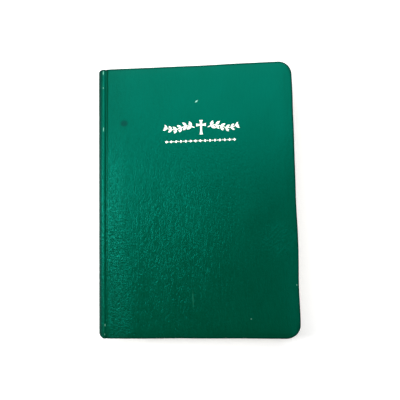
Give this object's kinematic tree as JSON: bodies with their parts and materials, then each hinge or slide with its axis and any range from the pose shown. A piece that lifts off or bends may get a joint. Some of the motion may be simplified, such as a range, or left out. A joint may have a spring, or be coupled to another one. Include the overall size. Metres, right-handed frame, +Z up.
{
  "type": "bible",
  "caption": "Compact sewn Bible with a limp imitation-leather case: covers open, the block opens flat at its middle, spine and sections follow.",
  "frame": {"origin": "middle of the footprint, on the surface the closed book lies on", "axes": "+X from the spine to the fore-edge, +Y from the tail to the head, +Z up through the front cover"},
  "size_m": [0.1484, 0.206, 0.0301],
  "materials": {
    "leatherette": "fine-grained imitation leather, satin, dark green",
    "board": "flexible grey card",
    "endpaper": "smooth cream endpaper",
    "bible_paper": "thin cream Bible paper",
    "kraft": "brown kraft paper",
    "gauze": "open-weave starched cotton gauze",
    "thread": "waxed linen thread",
    "band_cotton": "woven green and cream cotton band",
    "foil": "hot-stamped pale gold foil"
  },
  "bodies": {
    "bundle_01": {"signature_01": "bible_paper", "signature_02": "bible_paper", "signature_03": "bible_paper", "sewing_thread_01": "thread"},
    "bundle_02": {"signature_04": "bible_paper", "signature_05": "bible_paper", "signature_06": "bible_paper", "sewing_thread_02": "thread"},
    "bundle_03": {"signature_07": "bible_paper", "signature_08": "bible_paper", "signature_09": "bible_paper", "sewing_thread_03": "thread"},
    "bundle_04": {"signature_10": "bible_paper", "signature_11": "bible_paper", "signature_12": "bible_paper", "sewing_thread_04": "thread"},
    "bundle_05": {"signature_13": "bible_paper", "signature_14": "bible_paper", "signature_15": "bible_paper", "sewing_thread_05": "thread"},
    "bundle_06": {"signature_16": "bible_paper", "signature_17": "bible_paper", "signature_18": "bible_paper", "sewing_thread_06": "thread"},
    "bundle_07": {"signature_19": "bible_paper", "signature_20": "bible_paper", "signature_21": "bible_paper", "sewing_thread_07": "thread"},
    "bundle_08": {"signature_22": "bible_paper", "signature_23": "bible_paper", "signature_24": "bible_paper", "sewing_thread_08": "thread"},
    "bundle_09": {"signature_25": "bible_paper", "signature_26": "bible_paper", "signature_27": "bible_paper", "sewing_thread_09": "thread", "spine_lining": "kraft", "mull": "gauze", "head_band": "band_cotton", "tail_band": "band_cotton"},
    "bundle_10": {"signature_28": "bible_paper", "signature_29": "bible_paper", "signature_30": "bible_paper", "sewing_thread_10": "thread"},
    "spine": {"spine_leatherette": "leatherette", "spine_inlay": "kraft"},
    "front_hinge": {"front_hinge_leatherette": "leatherette"},
    "front_cover": {"front_cover_leatherette": "leatherette", "front_cover_board": "board", "front_pastedown": "endpaper", "foil_emblem": "foil", "foil_border": "foil"},
    "back_cover": {"back_cover_leatherette": "leatherette", "back_cover_board": "board", "back_pastedown": "endpaper", "back_hinge_leatherette": "leatherette"},
    "front_leaf": {"front_flyleaf": "endpaper"},
    "back_leaf": {"back_flyleaf": "endpaper"},
    "turning_leaf": {"turning_leaf": "bible_paper"}
  },
  "joints": [
    {"name": "slip_08", "type": "slide", "parent": "bundle_09", "child": "bundle_08", "axis": [1, 0, 0], "range_m": [-0.00493, 0]},
    {"name": "slip_07", "type": "slide", "parent": "bundle_08", "child": "bundle_07", "axis": [1, 0, 0], "range_m": [-0.00493, 0]},
    {"name": "slip_06", "type": "slide", "parent": "bundle_07", "child": "bundle_06", "axis": [1, 0, 0], "range_m": [-0.00493, 0]},
    {"name": "middle_opening", "type": "hinge", "parent": "bundle_06", "child": "bundle_05", "pos_m": [-0.0721, 0, 0.015], "axis": [0, -1, 0], "range_deg": [0, 179.9], "deforming": ["spine_lining", "mull", "head_band", "tail_band"]},
    {"name": "slip_04", "type": "slide", "parent": "bundle_05", "child": "bundle_04", "axis": [1, 0, 0], "range_m": [0, 0.00493]},
    {"name": "slip_03", "type": "slide", "parent": "bundle_04", "child": "bundle_03", "axis": [1, 0, 0], "range_m": [0, 0.00493]},
    {"name": "slip_02", "type": "slide", "parent": "bundle_03", "child": "bundle_02", "axis": [1, 0, 0], "range_m": [0, 0.00493]},
    {"name": "front_slip", "type": "slide", "parent": "bundle_02", "child": "bundle_01", "axis": [1, 0, 0], "range_m": [0, 0.0015]},
    {"name": "back_slip", "type": "slide", "parent": "bundle_09", "child": "bundle_10", "axis": [1, 0, 0], "range_m": [0, 0.0015]},
    {"name": "spine_fold_back", "type": "hinge", "parent": "bundle_09", "child": "spine", "pos_m": [-0.07365, 0, 0.0006], "axis": [0, -1, 0], "range_deg": [0, 90]},
    {"name": "spine_fold_front", "type": "hinge", "parent": "spine", "child": "front_hinge", "pos_m": [-0.07365, 0, 0.0294], "axis": [0, -1, 0], "range_deg": [0, 90]},
    {"name": "front_cover_opening", "type": "hinge", "parent": "front_hinge", "child": "front_cover", "pos_m": [-0.06875, 0, 0.03005], "axis": [0, 1, 0], "range_deg": [-179.9, 0]},
    {"name": "back_cover_opening", "type": "hinge", "parent": "bundle_09", "child": "back_cover", "pos_m": [-0.07365, 0, 0.0006], "axis": [0, -1, 0], "range_deg": [-179.9, 0]},
    {"name": "turning_leaf_turn", "type": "hinge", "parent": "bundle_06", "child": "turning_leaf", "pos_m": [-0.0721, 0, 0.015], "axis": [0, -1, 0], "range_deg": [0, 150]},
    {"name": "front_flyleaf_turn", "type": "hinge", "parent": "bundle_01", "child": "front_leaf", "pos_m": [-0.06799, 0, 0.02714], "axis": [0, 1, 0], "range_deg": [-36, 0]},
    {"name": "back_flyleaf_turn", "type": "hinge", "parent": "bundle_10", "child": "back_leaf", "pos_m": [-0.06799, 0, 0.00286], "axis": [0, -1, 0], "range_deg": [-1, 0]}
  ],
  "couplings": [
    {"joint": "slip_08", "follows": "middle_opening", "m_per_rad": -0.0015689},
    {"joint": "slip_07", "follows": "middle_opening", "m_per_rad": -0.0015689},
    {"joint": "slip_06", "follows": "middle_opening", "m_per_rad": -0.0015689},
    {"joint": "slip_04", "follows": "middle_opening", "m_per_rad": 0.0015689},
    {"joint": "slip_03", "follows": "middle_opening", "m_per_rad": 0.0015689},
    {"joint": "slip_02", "follows": "middle_opening", "m_per_rad": 0.0015689},
    {"joint": "spine_fold_back", "follows": "middle_opening", "ratio": 0.5},
    {"joint": "spine_fold_front", "follows": "middle_opening", "ratio": 0.5},
    {"joint": "turning_leaf_turn", "follows": "middle_opening", "ratio": 0.83333},
    {"joint": "front_flyleaf_turn", "follows": "front_cover_opening", "ratio": 0.2},
    {"joint": "back_flyleaf_turn", "follows": "back_cover_opening", "ratio": 0.005555}
  ]
}
